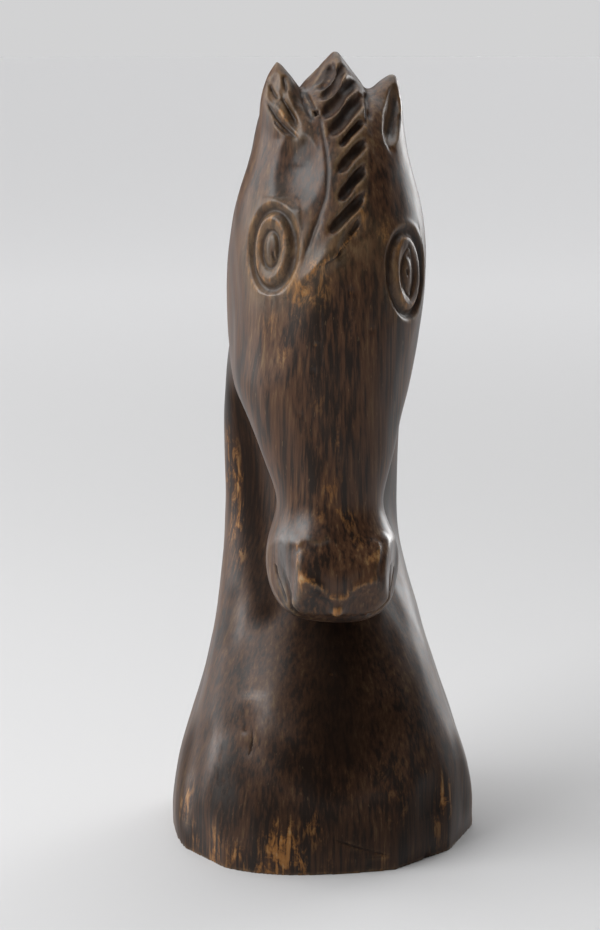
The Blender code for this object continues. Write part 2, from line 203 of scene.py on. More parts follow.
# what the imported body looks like, to place marks seen in the photograph
bm = bmesh.new()
bm.from_mesh(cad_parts[node].data)
bodyTree = BVHTree.FromBMesh(bm)
bm.free()


# the place on the body that the camera sees at a pixel of the photograph
def onBody(px, py):
    start, ahead = pixelRay(px, py)
    hit = bodyTree.ray_cast(start, ahead)[0]
    if hit is None:
        raise ValueError(f"pixel {px}, {py} misses the body")
    return hit


# points at even steps along a smooth curve through the path's places
def resample(path, spacing):
    path = [Vector(p) for p in path]
    if len(path) == 2:
        path = [path[0], path[0].lerp(path[1], 0.5), path[1]]
    first, last = path[0] * 2 - path[1], path[-1] * 2 - path[-2]
    ends = [first, *path, last]
    found = []
    for i in range(1, len(ends) - 2):
        a, b, c, d = ends[i - 1 : i + 3]
        steps = max(2, int((c - b).length / spacing))
        for k in range(steps):
            t = k / steps
            place = (2 * b) + (c - a) * t
            place = place + (2 * a - 5 * b + 4 * c - d) * t**2
            place = place + (3 * b - a - 3 * c + d) * t**3
            found.append(0.5 * place)
    found.append(path[-1])
    return np.array(found)


# which skin points are near a path, their distance to it, and the share of the way along it
def nearPath(path, margin=8):
    low, high = path.min(axis=0) - margin * mm, path.max(axis=0) + margin * mm
    close = np.where(np.all((points > low) & (points < high), axis=1))[0]
    gaps = np.linalg.norm(points[close][:, None, :] - path[None, :, :], axis=2)
    nearest = gaps.argmin(axis=1)
    return close, gaps[np.arange(len(close)), nearest], nearest / max(len(path) - 1, 1)


# Smoothing: strong on the plain wood, gentle where there is carving

carvedPlaces = {  # a path in mm, how far the carving reaches beside it, how much of it stays
    "crest": ([
        (-9, -36, 186), (-4, -35, 197), (1, -33, 209), (2, -27, 220), (2.5, -19, 231), (2.7, -8, 243),
        (2.7, 2, 248), (2.7, 12, 245), (2.5, 20, 236), (1.5, 28, 217), (0.9, 33, 203), (0.5, 38, 186),
        (0, 41, 160), (-0.6, 42, 130), (-0.8, 43, 100), (-0.8, 43, 74),
    ], 9, 1.0),
    "leftEye": ([(-20.5, -27, 186), (-20.5, -27, 199)], 13, 0.72),
    "rightEye": ([(20.5, -29, 178), (20.5, -29, 191)], 13, 0.72),
    "leftMouthCorner": ([(-23, -36, 101), (-21, -44, 93), (-17, -44, 86)], 4, 1.0),
    "rightMouthCorner": ([(9, -45, 86), (13, -45, 92), (15.5, -39, 101)], 4, 1.0),
    "leftMuzzleEdge": ([(-16, -47, 107), (-16, -50, 98), (-15, -49, 88)], 3, 0.8),
    "rightMuzzleEdge": ([(12, -45, 106), (9.5, -50, 97), (9, -48, 88)], 3, 0.8),
    "leftEar": ([(-16, -4, 247), (-15, -12, 234), (-11, -20, 224)], 8, 1.0),
    "rightEar": ([(20, -3, 243), (17, -12, 232), (16, -20, 222)], 8, 1.0),
}
detail = np.zeros(len(points))  # how much each point keeps of its carving, 0 to 1


def keepDetail(path, reach, amount):
    close, gaps, _ = nearPath(resample([Vector(p) * mm for p in path], 2 * mm))
    share = (1 - smoothStep(0.7 * reach * mm, 1.3 * reach * mm, gaps)) * amount
    detail[close] = np.maximum(detail[close], share)


for path, reach, amount in carvedPlaces.values():
    keepDetail(path, reach, amount)
detail = np.maximum(detail, rising(skinValues["sharpTop"], points[:, 2]))
detail = np.maximum(detail, 1 - rising(skinValues["sharpRim"], points[:, 2]))


def smoothSkin(points):
    for i in range(skinValues["plainPasses"]):
        weight = skinValues["push"] * (1 - detail)
        if i < skinValues["detailPasses"]:
            weight = np.full(len(points), skinValues["push"])
        weight = weight * rising(skinValues["heldFoot"], points[:, 2])
        points = points + weight[:, None] * (nearMean(points, edges) - points)
    points[:, 2] = np.maximum(points[:, 2], 0)
    return points


points = smoothSkin(points)
writePoints(mesh, points)
normals = readNormals(mesh)
for _ in range(skinValues["normalPasses"]):
    normals = nearMean(normals, edges)
normals /= np.linalg.norm(normals, axis=1)[:, None]
print("skin smoothed")

# The knife's marks

shift = np.zeros(len(points))  # how far each point moves along its normal
groove = np.zeros(len(points))  # how deep in a cut it lies, 0 to 1
worn = np.zeros(len(points))  # where handling has taken the stain off, 0 to 1
paintedShadeAndSoot = np.zeros(len(points))  # painted shade under the muzzle, beside the face and down the chest, darker bands on the base, and the knot's dark stain, 0 to 1


# a cut along a path, deepest in its middle line
def cutStroke(path, width, depth, roundness=1.3, taper=0.25, dark=1.0):
    close, gaps, along = nearPath(resample(path, 0.6 * mm))
    half = 0.5 * width * mm
    ends = smoothStep(0, taper, along) * smoothStep(0, taper, 1 - along) if taper > 0 else 1
    across = np.clip(1 - gaps / half, 0, 1) ** roundness * ends
    shift[close] -= across * depth * mm
    groove[close] = np.maximum(groove[close], np.clip(across * 1.6, 0, 1) * dark)


def raiseStroke(path, width, height, wear=0.0, taper=0.2):
    close, gaps, along = nearPath(resample(path, 0.6 * mm))
    half = 0.5 * width * mm
    ends = smoothStep(0, taper, along) * smoothStep(0, taper, 1 - along) if taper > 0 else 1
    across = np.exp(-((gaps / half) ** 2) * 1.6) * ends
    shift[close] += across * height * mm
    worn[close] = np.maximum(worn[close], across * wear)


# a step along a path: the skin on its left rises and the skin on its right sinks, fading with distance
def terrace(path, height, reach, crisp=0.6, wear=0.0):
    line = resample(path, 0.6 * mm)
    close, gaps, along = nearPath(line)
    nearest = np.round(along * (len(line) - 1)).astype(int)
    ahead = np.gradient(line, axis=0)[nearest]
    leftward = np.einsum("ij,ij->i", np.cross(normals[close], ahead), points[close] - line[nearest])
    signed = np.sign(leftward) * gaps
    ends = smoothStep(0, 0.15, along) * smoothStep(0, 0.15, 1 - along)
    step = np.tanh(signed / (crisp * mm)) * np.exp(-((gaps / (reach * mm)) ** 2)) * ends
    shift[close] += step * height * mm
    worn[close] = np.maximum(worn[close], np.exp(-(((signed - 0.6 * mm) / (1.0 * mm)) ** 2)) * ends * wear)


def dent(centre, radius, depth, wear=0.0, shadeAndSoot=0.0):
    gaps = np.linalg.norm(points - np.array(centre), axis=1) / (radius * mm)
    bump = np.exp(-(gaps**2) * 1.5)
    shift[:] = shift - bump * depth * mm
    worn[:] = np.maximum(worn, bump * wear)
    paintedShadeAndSoot[:] = np.maximum(paintedShadeAndSoot, bump * shadeAndSoot)


def seen(pixels):
    return [onBody(*pixel) for pixel in pixels]


maneMarks = {
    "grooveCut": {"depth": 0.75, "roundness": 0.8, "taper": 0.3},
    "grooves": [  # width in mm, then pixels of the photograph from the lower to the upper end
        (4.4, (314, 88), (325, 74), (331, 60)),
        (5.2, (318, 99), (332, 81), (346, 66)),
        (6.2, (320, 118), (338, 98), (356, 80)),
        (6.2, (328, 136), (347, 113), (362, 96)),
        (2.8, (341, 145), (350, 134), (364, 119)),
        (4.2, (338, 172), (352, 155), (368, 139)),
        (4.2, (338, 200), (351, 184), (368, 165)),
        (4.2, (328, 233), (345, 216), (366, 195)),
        (2.2, (348, 238), (353, 231), (360, 219)),
    ],
    "leftEdge": [
        (318, 108), (323, 135), (327, 160), (327, 185), (323, 205), (312, 232), (305, 255), (301, 266),
    ],
    "leftEdgeCut": {"width": 1.8, "depth": 0.3, "taper": 0.1},
    "almond": [(322, 212), (314, 230), (307, 254)],
    "almondCut": {"width": 3.0, "depth": 0.6, "taper": 0.35},
    "rightEdge": [(361, 95), (365, 120), (366, 145), (366, 170), (365, 197), (357, 216)],
    "rightEdgeRidge": {"width": 1.6, "height": 0.25, "wear": 0.35, "taper": 0.1},
    "forelock": [(352, 234), (338, 251), (318, 268), (300, 290)],
    "forelockRidge": {"width": 6.0, "height": 0.9, "wear": 0.3, "taper": 0.25},
    "forelockEdge": [(297, 300), (304, 285), (319, 269), (336, 254), (353, 238), (368, 216)],
    "forelockStep": {"height": 0.5, "reach": 3.5, "crisp": 0.9, "wear": 0.6},
}

for width, *pixels in maneMarks["grooves"]:
    cutStroke(seen(pixels), width, **maneMarks["grooveCut"])
cutStroke(seen(maneMarks["leftEdge"]), **maneMarks["leftEdgeCut"])
cutStroke(seen(maneMarks["almond"]), **maneMarks["almondCut"])
raiseStroke(seen(maneMarks["rightEdge"]), **maneMarks["rightEdgeRidge"])
raiseStroke(seen(maneMarks["forelock"]), **maneMarks["forelockRidge"])
terrace(seen(maneMarks["forelockEdge"]), **maneMarks["forelockStep"])
print("mane carved")

earMarks = {
    "cuts": [  # width and depth in mm, then pixels
        (2.4, 1.2, (283, 74), (285, 84), (286, 94)),
        (1.8, 1.0, (268, 78), (272, 90), (279, 101)),
        (1.8, 0.9, (264, 96), (271, 109), (281, 123), (300, 140)),
        (1.8, 1.1, (279, 96), (288, 108), (298, 126)),
        (1.5, 0.7, (272, 118), (280, 128), (290, 136)),
        (1.8, 1.2, (303, 86), (309, 99), (317, 114)),
        (2.6, 1.6, (315, 109), (317, 116)),
        (1.6, 0.8, (365, 93), (366, 112), (366, 130)),
    ],
    "ridges": [  # width, height and wear, then pixels
        (2.0, 0.5, 0.5, (273, 100), (283, 115), (294, 130), (305, 145)),
        (2.0, 0.4, 0.35, (399, 94), (401, 106), (400, 118)),
    ],
    "rightHollow": [(397, 92), (396, 106), (392, 124), (388, 142)],
    "rightHollowCut": {"width": 5.5, "depth": 1.0, "roundness": 0.9, "dark": 0.0},
    "chip": (391, 148),
    "chipDent": {"radius": 1.6, "depth": 0.5, "wear": 0.5},
}
for width, depth, *pixels in earMarks["cuts"]:
    cutStroke(seen(pixels), width, depth)
for width, height, wear, *pixels in earMarks["ridges"]:
    raiseStroke(seen(pixels), width, height, wear)
cutStroke(seen(earMarks["rightHollow"]), **earMarks["rightHollowCut"])
dent(onBody(*earMarks["chip"]), **earMarks["chipDent"])
print("ears carved")

eyes = {  # half sizes and depths in mm, the tilt in degrees
    "left": {
        "pixel": (269, 249),
        "outward": (-0.71, -0.69, 0.14),
        "tilt": 4,
        "ring": (7.6, 11.8),
        "pupil": (3.1, 5.6),
        "pointed": 2.0,  # 2 for an oval pupil, less for one with pointed ends
        "depth": 0.5,
        "slit": [(272, 250), (274, 262)],
    },
    "right": {
        "pixel": (410, 272),
        "outward": (0.71, -0.70, 0.09),
        "tilt": -4,
        "ring": (8.3, 12.8),
        "pupil": (3.2, 7.6),
        "pointed": 1.5,
        "depth": 0.5,
        "slit": [(407, 268), (408, 276)],
    },
}
eyeCuts = {  # in mm
    "reach": 20,
    "thickness": 12,
    "ringHalf": 1.7,
    "pupilHalf": 1.1,
    "landAt": 2.6,  # the land between the rings: how far inside the ring, half width, height
    "landHalf": 1.1,
    "landHeight": 0.35,
    "rimAt": 2.4,  # the rim round the ring
    "rimHalf": 1.0,
    "rimHeight": 0.2,
    "slitCut": {"width": 1.4, "depth": 0.8},
    "pupilShare": 0.8,  # the pupil's cut is shallower than the ring's
    "darkest": 0.45,  # how dark the stain gets in the rings, and how worn the land and the rim are
    "landWear": 0.4,
    "rimWear": 0.25,
}


def carveEye(eye):
    centre = np.array(onBody(*eye["pixel"]))
    outward = Vector(eye["outward"]).normalized()
    upward = (Vector((0, 0, 1)) - outward * outward.z).normalized()
    upward.rotate(Quaternion(outward, math.radians(eye["tilt"])))
    side = upward.cross(outward)
    offset = points - centre
    a, b = offset @ np.array(side) / mm, offset @ np.array(upward) / mm
    near = np.abs(offset @ np.array(outward)) < eyeCuts["thickness"] * mm
    near &= (np.hypot(a, b) < eyeCuts["reach"]) & (normals @ np.array(outward) > 0.2)
    distance = np.maximum(np.hypot(a, b), 0.01)

    def ovalGap(half, power):
        share = (np.abs(a / half[0]) ** power + np.abs(b / half[1]) ** power) ** (1 / power)
        return distance * (1 - 1 / np.maximum(share, 0.01)), share

    ringGap, _ = ovalGap(eye["ring"], 2.0)
    pupilGap, pupilShare = ovalGap(eye["pupil"], eye["pointed"])
    cut = np.clip(1 - np.abs(ringGap) / eyeCuts["ringHalf"], 0, 1) ** 1.2
    inner = np.clip(1 - np.abs(pupilGap) / eyeCuts["pupilHalf"], 0, 1) ** 1.2
    land = np.exp(-(((ringGap + eyeCuts["landAt"]) / eyeCuts["landHalf"]) ** 2)) * (pupilShare > 1)
    rim = np.exp(-(((ringGap - eyeCuts["rimAt"]) / eyeCuts["rimHalf"]) ** 2))
    move = -eye["depth"] * cut - eyeCuts["pupilShare"] * eye["depth"] * inner
    move = move + eyeCuts["landHeight"] * land + eyeCuts["rimHeight"] * rim
    shift[near] += move[near] * mm
    dark = np.clip(np.maximum(cut, inner), 0, eyeCuts["darkest"])
    bare = eyeCuts["landWear"] * land + eyeCuts["rimWear"] * rim
    groove[near] = np.maximum(groove[near], dark[near])
    worn[near] = np.maximum(worn[near], bare[near])
    cutStroke(seen(eye["slit"]), **eyeCuts["slitCut"])


for eye in eyes.values():
    carveEye(eye)
print("eyes carved")

muzzleMarks = {
    "nostrilLine": [
        (298, 579), (306, 580), (314, 583), (323, 588), (331, 595), (338, 597), (345, 596), (352, 590),
        (362, 584), (372, 581), (381, 580),
    ],
    "nostrilRidge": {"width": 3.4, "height": 0.45, "wear": 0.6, "taper": 0.05},
    "nostrilStep": {"height": 0.35, "reach": 4.0, "crisp": 1.0},
    "leftEdge": [(295, 540), (297, 552), (296, 570), (295, 585), (296, 603)],
    "leftEdgeStep": {"height": 0.5, "reach": 3.5, "crisp": 1.2, "wear": 0.6},
    "rightEdge": [(378, 536), (381, 550), (378, 570), (376, 585)],
    "rightEdgeStep": {"height": 0.5, "reach": 3.0, "crisp": 1.2, "wear": 0.5},
    "nose": [(297, 551), (304, 543), (318, 546), (334, 539)],
    "noseStep": {"height": 0.4, "reach": 3.0, "crisp": 1.0},
    "leftSlit": [(275, 562), (278, 577), (284, 594), (294, 611)],
    "leftSlitCut": {"width": 1.8, "depth": 1.0, "taper": 0.1},
    "leftLip": [(271, 566), (273, 583), (280, 600), (290, 612)],
    "leftLipRidge": {"width": 1.8, "height": 0.2, "wear": 0.3, "taper": 0.15},
    "rightSlit": [(394, 566), (392, 580), (389, 592)],
    "rightSlitCut": {"width": 1.6, "depth": 0.9, "taper": 0.1},
    "noseTop": (313, 530),
    "noseBump": {"radius": 8.0, "depth": -0.9},
    "lipTip": (337, 612),
    "lipBump": {"radius": 2.4, "depth": -0.7, "wear": 1.0},
}
raiseStroke(seen(muzzleMarks["nostrilLine"]), **muzzleMarks["nostrilRidge"])
terrace(seen(muzzleMarks["nostrilLine"])[::-1], **muzzleMarks["nostrilStep"])
terrace(seen(muzzleMarks["leftEdge"]), **muzzleMarks["leftEdgeStep"])
terrace(seen(muzzleMarks["rightEdge"])[::-1], **muzzleMarks["rightEdgeStep"])
terrace(seen(muzzleMarks["nose"]), **muzzleMarks["noseStep"])
cutStroke(seen(muzzleMarks["leftSlit"]), **muzzleMarks["leftSlitCut"])
raiseStroke(seen(muzzleMarks["leftLip"]), **muzzleMarks["leftLipRidge"])
cutStroke(seen(muzzleMarks["rightSlit"]), **muzzleMarks["rightSlitCut"])
dent(onBody(*muzzleMarks["noseTop"]), **muzzleMarks["noseBump"])
dent(onBody(*muzzleMarks["lipTip"]), **muzzleMarks["lipBump"])
print("muzzle carved")

baseMarks = {
    "knot": (250, 747),
    "knotDent": {"radius": 3.6, "depth": 0.35, "wear": 0.15, "shadeAndSoot": 0.5},
    "knotCrack": [(252, 728), (251, 742), (247, 760)],
    "knotCrackCut": {"width": 1.1, "depth": 0.8, "taper": 0.3},
    "longCrack": [(330, 838), (352, 846), (382, 854), (410, 859)],
    "longCrackCut": {"width": 1.0, "depth": 0.7, "taper": 0.2},
    "scratches": [[(380, 782), (391, 764)], [(383, 785), (394, 767)]],
    "scratchCut": {"width": 0.9, "depth": 0.3, "taper": 0.3},
    "nicks": [((244, 731), 1.2), ((297, 838), 1.0), ((331, 674), 1.0)],  # pixel and radius in mm
    "nickDent": {"depth": 0.35, "wear": 0.6},
    "planes": [  # width and depth in mm, then pixels
        (13, 0.55, (240, 700), (237, 780), (236, 850)),
        (12, 0.4, (207, 715), (197, 780), (193, 830)),
        (14, 0.35, (292, 770), (290, 866)),
        (13, 0.4, (418, 730), (430, 820)),
        (14, 0.3, (372, 790), (375, 860)),
        (12, 0.3, (262, 600), (255, 660), (250, 700)),
    ],
}
for width, depth, *pixels in baseMarks["planes"]:
    close, gaps, along = nearPath(resample(seen(pixels), 1 * mm))
    ends = smoothStep(0, 0.2, along) * smoothStep(0, 0.1, 1 - along)
    shift[close] -= np.clip(1 - (gaps / (0.5 * width * mm)) ** 2, 0, 1) * ends * depth * mm
dent(onBody(*baseMarks["knot"]), **baseMarks["knotDent"])
cutStroke(seen(baseMarks["knotCrack"]), **baseMarks["knotCrackCut"])
cutStroke(seen(baseMarks["longCrack"]), **baseMarks["longCrackCut"])
for pixels in baseMarks["scratches"]:
    cutStroke(seen(pixels), **baseMarks["scratchCut"])
for pixel, radius in baseMarks["nicks"]:
    dent(onBody(*pixel), radius, **baseMarks["nickDent"])
print("base marked")

faceMarks = {
    "lines": [
        [(338, 372), (338, 420), (339, 470), (338, 495)],
        [(322, 300), (321, 345), (323, 385)],
        [(352, 300), (351, 350)],
    ],
    "lineCut": {"width": 1.0, "depth": 0.22, "taper": 0.3},
    "flecks": [  # pixel and radius in mm
        ((314, 372), 1.2), ((316, 345), 1.0), ((352, 292), 1.6), ((372, 330), 1.4), ((300, 415), 1.0),
    ],
    "fleckDent": {"depth": 0.2, "wear": 0.5},
}
for pixels in faceMarks["lines"]:
    cutStroke(seen(pixels), **faceMarks["lineCut"])
for pixel, radius in faceMarks["flecks"]:
    dent(onBody(*pixel), radius, **faceMarks["fleckDent"])
print("face marked")

# The hand-cut surface isn't even: long shallow hollows left by the knife

unevenness = {
    "waves": [(0.32, 26, 9), (0.07, 9, 12)],  # height and wavelength in mm, and how many sines
    "spread": (0.7, 1.4),
    "alongGrain": 3.2,  # how much longer a wave is along the grain
    "seed": 5,
}


# soft waves, long along the grain, made of a few sines in chosen directions
def rippled(points):
    random = np.random.default_rng(unevenness["seed"])
    total = np.zeros(len(points))
    for amount, wavelength, count in unevenness["waves"]:
        for _ in range(count):
            angle = random.uniform(0, 2 * math.pi)
            across = 2 * math.pi / (wavelength * random.uniform(*unevenness["spread"]) * mm)
            longer = unevenness["alongGrain"] * wavelength
            along = 2 * math.pi / (longer * random.uniform(*unevenness["spread"]) * mm)
            upOrDown = random.choice([-1, 1])
            way = np.array([math.cos(angle) * across, math.sin(angle) * across, upOrDown * along])
            total += amount / math.sqrt(count) * np.sin(points @ way + random.uniform(0, 2 * math.pi))
    return total * mm


shift += rippled(points) * (1 - 0.8 * detail) * smoothStep(1 * mm, 8 * mm, points[:, 2])
points = points + normals * shift[:, None]
points[:, 2] = np.maximum(points[:, 2], 0)
low, high = cadBox
points = np.clip(points, np.array(low) - skinValues["pastBox"], np.array(high) + skinValues["pastBox"])
writePoints(mesh, points)

# Edges that hands reach, hollows where dirt and stain stay, and painted shade and painted sheen


# how far each point stands out of the surface around it, in mm
def bulge(spread):
    mean = points.copy()
    for _ in range(spread):
        mean = mean + skinValues["push"] * (nearMean(mean, edges) - mean)
    return np.einsum("ij,ij->i", points - mean, normals) / mm


wearValues = {  # how far a place stands out in mm, from where it begins to wear to where it is bare
    "fineSpread": 10,
    "edge": (0.03, 0.16),
    "hollow": (0.03, 0.18),
    "edgeAmount": 0.9,
    "broadSpread": 60,
    "broadEdge": (0.25, 0.8),
    "broadAmount": 0.6,
    "maneMiddle": [(322, 72), (338, 90), (348, 110), (353, 140), (354, 170), (352, 200), (345, 228)],
    "maneEdge": (-0.02, 0.1),
    "maneReach": (4, 8),
}
standing = bulge(wearValues["fineSpread"])
edgeWearAndSheen = smoothStep(*wearValues["edge"], standing)
hollow = smoothStep(*wearValues["hollow"], -standing)
broad = smoothStep(*wearValues["broadEdge"], bulge(wearValues["broadSpread"]))
edgeWearAndSheen = np.maximum(edgeWearAndSheen * wearValues["edgeAmount"], broad * wearValues["broadAmount"])

close, gaps, _ = nearPath(resample(seen(wearValues["maneMiddle"]), 1 * mm), 12)
around = 1 - rising(wearValues["maneReach"], gaps)
maneEdge = smoothStep(*wearValues["maneEdge"], standing[close])
edgeWearAndSheen[close] = np.maximum(edgeWearAndSheen[close], maneEdge * around)

rubbedPlaces = {  # pixel, radius in mm, amount
    "rim": [
        ((300, 868), 4, 0.8), ((281, 852), 6, 1.0), ((268, 872), 5, 0.8), ((262, 852), 4, 0.5),
        ((330, 866), 4, 0.4), ((235, 858), 5, 0.6), ((215, 848), 5, 0.65), ((195, 838), 5, 0.5),
        ((312, 828), 6, 0.45), ((300, 820), 4, 0.3), ((445, 800), 6, 0.65), ((440, 830), 6, 0.5),
        ((400, 812), 6, 0.35), ((380, 862), 5, 0.35), ((425, 770), 5, 0.3), ((350, 868), 4, 0.3),
        ((430, 742), 5, 0.3), ((230, 826), 5, 0.3), ((395, 790), 14, 0.3), ((345, 800), 14, 0.25),
        ((410, 745), 11, 0.25),
    ],
    "neck": [
        ((229, 420), 5, 0.5), ((231, 450), 6, 0.55), ((233, 480), 7, 0.6), ((235, 520), 6, 0.6),
        ((238, 555), 5, 0.45), ((232, 575), 3, 0.2), ((250, 700), 4, 0.3), ((394, 500), 3, 0.5),
        ((397, 545), 3, 0.4), ((430, 690), 4, 0.3), ((225, 640), 3, 0.3), ((415, 640), 4, 0.25),
    ],
    "face": [
        ((318, 400), 5, 0.35), ((300, 370), 4, 0.3), ((283, 350), 4, 0.45), ((335, 440), 4, 0.35),
        ((345, 400), 4, 0.3), ((330, 490), 4, 0.55), ((338, 515), 3, 0.5), ((320, 520), 3, 0.45),
        ((345, 480), 3, 0.35), ((372, 350), 4, 0.3), ((360, 545), 4, 0.45), ((372, 558), 3, 0.5),
        ((345, 330), 5, 0.2), ((392, 330), 4, 0.35), ((268, 325), 5, 0.4), ((318, 285), 6, 0.45),
        ((300, 300), 6, 0.5), ((362, 215), 4, 0.4), ((388, 235), 5, 0.35), ((350, 520), 3, 0.5),
        ((365, 300), 5, 0.15), ((310, 600), 4, 0.4), ((313, 610), 4, 0.35), ((303, 578), 3, 0.6),
    ],
}
grainStretch = 0.55  # a rubbed place is longer along the grain


def rubbed(centre, radius):
    offset = (points - np.array(centre)) * np.array([1, 1, grainStretch])
    return np.exp(-((np.linalg.norm(offset, axis=1) / (radius * mm)) ** 2))


for group in rubbedPlaces.values():
    for pixel, radius, amount in group:
        worn = np.maximum(worn, amount * rubbed(onBody(*pixel), radius))

backRim = {  # the same wear on the rim round the back
    "angles": (20, 200, 13),
    "turn": 6,
    "from": 0.2,  # metres from the middle, outside the body
    "heights": (1, 16),
    "radii": (3, 7),
    "amounts": (0.4, 0.9),
    "seed": 11,
}
random = np.random.default_rng(backRim["seed"])
for angle in np.linspace(*backRim["angles"]):
    a = math.radians(angle + random.uniform(-backRim["turn"], backRim["turn"]))
    sideways = Vector((math.cos(a), math.sin(a), 0))
    start = sideways * backRim["from"] + Vector((0, 0, random.uniform(*backRim["heights"]) * mm))
    hit = bodyTree.ray_cast(start, -sideways)[0]
    fading = rubbed(hit, random.uniform(*backRim["radii"]))
    worn = np.maximum(worn, random.uniform(*backRim["amounts"]) * fading)
print("worn places found")

stainShadeAndSheenBands = {  # radius in mm, amount, then pixels
    # painted shade under the muzzle, beside the face and down the chest, and darker bands round the base
    "paintedShadeAndSoot": [
        (20, 1.0, (330, 640), (335, 690), (340, 740)),
        (14, 0.8, (300, 760), (340, 775), (380, 720)),
        (9, 0.9, (240, 405), (245, 440), (251, 500), (256, 560), (266, 605)),
        (18, 0.6, (240, 790), (280, 820), (345, 830), (405, 820), (450, 800)),
        (14, 0.55, (418, 690), (428, 740), (440, 790)),
        (10, 0.4, (205, 740), (195, 800)),
        (9, 0.4, (234, 650), (228, 720)),
        (6, 0.45, (232, 596), (228, 640)),
        (8, 0.6, (459, 750), (464, 800)),
        (11, 0.6, (188, 745), (182, 785), (182, 825)),
        (5, 0.7, (300, 617), (320, 622), (352, 622), (376, 614)),
    ],
    # pale worn tan, partly painted sheen round the eyes and along the forelock; the band in the right
    # ear's hollow is a painted reflection
    "fadedAndPaintedSheen": [
        (8, 1.0, (266, 220), (256, 248), (266, 282), (286, 268), (286, 236)),
        (5, 1.0, (300, 290), (318, 268), (342, 246), (356, 224)),
        (7, 0.7, (362, 245), (385, 245), (396, 262), (400, 290)),
        (4, 0.8, (276, 84), (284, 108), (298, 134)),
        (3, 0.7, (391, 90), (386, 112), (384, 138)),
    ],
    "polished": [
        (5.5, 1.0, (283, 545), (285, 565), (289, 585)),
        (3.5, 1.0, (391, 540), (392, 560), (388, 580)),
        (4.0, 0.6, (308, 528), (322, 530)),
        (3.0, 0.8, (395, 98), (392, 120), (389, 138)),
        (8.0, 0.15, (290, 160), (296, 200), (290, 230)),
        (4.0, 0.6, (262, 300), (275, 298)),
        (4.0, 0.3, (238, 612), (241, 635)),
        (4.0, 0.5, (262, 700), (268, 722)),
        (5.0, 0.7, (218, 745), (222, 790)),
        (3.5, 0.5, (190, 780), (188, 825)),
    ],
}
polished = np.zeros(len(points))  # where hands have made the wax shine, 0 to 1


# soft bands along paths seen in the photograph
def tint(values, bands, spacing):
    for radius, amount, *pixels in bands:
        close, gaps, _ = nearPath(resample(seen(pixels), spacing * mm), 2.5 * radius)
        values[close] = np.maximum(values[close], amount * np.exp(-((gaps / (radius * mm)) ** 2)))


tint(paintedShadeAndSoot, stainShadeAndSheenBands["paintedShadeAndSoot"], 1.5)
tint(edgeWearAndSheen, stainShadeAndSheenBands["fadedAndPaintedSheen"], 1.5)
tint(polished, stainShadeAndSheenBands["polished"], 1)
print("stain laid on")


def writeAttribute(name, values):
    layer = mesh.attributes.new(name, "FLOAT", "POINT")
    layer.data.foreach_set("value", np.clip(values, 0, 1).astype(np.float32))


writeAttribute("worn", worn)
writeAttribute("edgeWearAndSheen", edgeWearAndSheen)
writeAttribute("hollow", np.maximum(hollow, groove))
writeAttribute("paintedShadeAndSoot", paintedShadeAndSoot)
writeAttribute("polished", polished)
mesh.polygons.foreach_set("use_smooth", np.ones(len(mesh.polygons), bool))


def thinOut(piece, triangles):
    now = sum(len(face.vertices) - 2 for face in piece.data.polygons)
    thin = piece.modifiers.new("thinOut", "DECIMATE")
    thin.ratio = min(1.0, triangles / now)
    applyModifiers(piece)


thinOut(carving, skinValues["triangles"])
print("skin thinned to", len(carving.data.polygons), "faces")

# The finish: dark stain and wax over a hard wood, streaked along the grain, with painted shade and painted
# sheen in its colour

woodValues = {
    # near-black painted shade, also the knot's dark stain
    "shadeAndSoot": (0.010, 0.0055, 0.0035, 1),
    "dark": (0.016, 0.0085, 0.005, 1),
    "brown": (0.076, 0.033, 0.015, 1),
    "olive": (0.15, 0.088, 0.040, 1),
    "rubbed": (0.33, 0.14, 0.034, 1),
    "pale": (0.42, 0.28, 0.13, 1),
    # pale olive tan of worn edges and grain flecks, also laid on as painted sheen round the eyes and in
    # the right ear's hollow
    "edge": (0.21, 0.135, 0.070, 1),
    "streaks": (900, (1, 1, 0.05), 4, 0.6),  # noise: scale, size along each axis, detail, roughness
    "bands": (190, (1, 1, 0.09), 3, 0.55, 0.4),
    "clouds": (55, (1, 1, 0.25), 3, 0.6),
    "flecks": (1300, (1, 1, 0.2), 2, 0.5),
    "blotches": (300, (1, 1, 0.5), 4, 0.7, 0.8),
    "grainShares": (0.62, 0.38),  # streaks and bands
    "toneShares": (0.76, 0.24),  # grain and clouds
    "patchShares": (0.6, 0.4),  # blotches and streaks
    "brownTones": (0.42, 0.55),  # from where the tone begins to where it is full
    "oliveTones": (0.53, 0.66),
    "paleTones": (0.54, 0.70),
    "fleckTones": (0.66, 0.78, 0, 0.4),  # and the least and the most of it
    "rubTones": (0.40, 0.62, 0.15, 1.4),
    "edgeTones": (0.35, 0.65, 0.2, 0.65),
    "polishTones": (0.3, 0.55, 0.35, 1),
    "edgeRub": 0.2,
    "rubbedThrough": (0.22, 0.95),
    "rubbedMost": 0.8,
    "shadeAndSootMost": 0.9,
    "hollowDark": (0.15, 0.9),
    "hollowMost": 0.7,
    "shadeAndSootSheen": (0.06, 0.04),  # specular and coat left in the painted shade and the soot
    "polishSheen": (0.3, 0.75),  # specular and coat added by polish
    "fibreStrength": 0.35,
    "fibreHeight": 0.15 * mm,
    "specular": 0.28,
    "roughness": (0.40, 0.58, 0.85),  # in the pores, on the fibres, in the painted shade and soot
    "coat": 0.2,
    "coatRoughness": 0.33,
}


